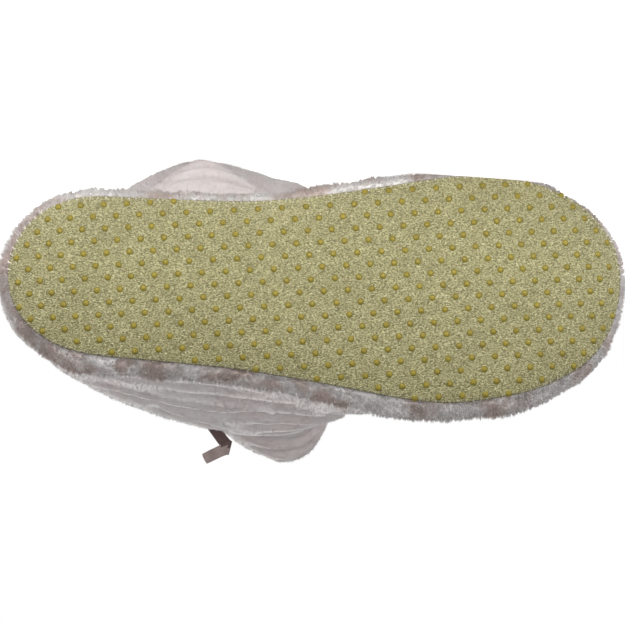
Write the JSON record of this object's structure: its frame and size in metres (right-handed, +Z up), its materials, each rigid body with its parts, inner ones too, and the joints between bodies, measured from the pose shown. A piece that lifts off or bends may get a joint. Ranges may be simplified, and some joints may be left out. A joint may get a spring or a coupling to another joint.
{
  "type": "bootie slipper",
  "caption": "Slack plush ankle bootie slipper for the left foot, lying on its inner side with its dotted cloth sole upright and a thin ribbon tied in a bow below the cuff.",
  "frame": {"origin": "centre of the bounding box's footprint, on the floor that the shoe lies on", "axes": "+X from the toe towards the heel, +Y from the sole towards the collar, +Z up from the floor, towards the shoe's outer side"},
  "size_m": [0.2666, 0.1482, 0.1332],
  "materials": {
    "plush": "matte short-pile plush, greyish pink",
    "sole_cloth": "matte olive-beige sole cloth",
    "footbed": "matte soft lining over foam",
    "ribbon": "dusty pink-brown woven ribbon, faint sheen"
  },
  "bodies": {
    "root": {"outsole": "sole_cloth", "platform_band": "plush", "insole": "footbed", "upper": "plush", "ribbon_tie": "ribbon", "bow_knot": "ribbon", "bow_loop_toe": "ribbon", "bow_loop_heel": "ribbon", "bow_tail_folded": "ribbon", "bow_tail_resting": "ribbon"}
  },
  "joints": []
}
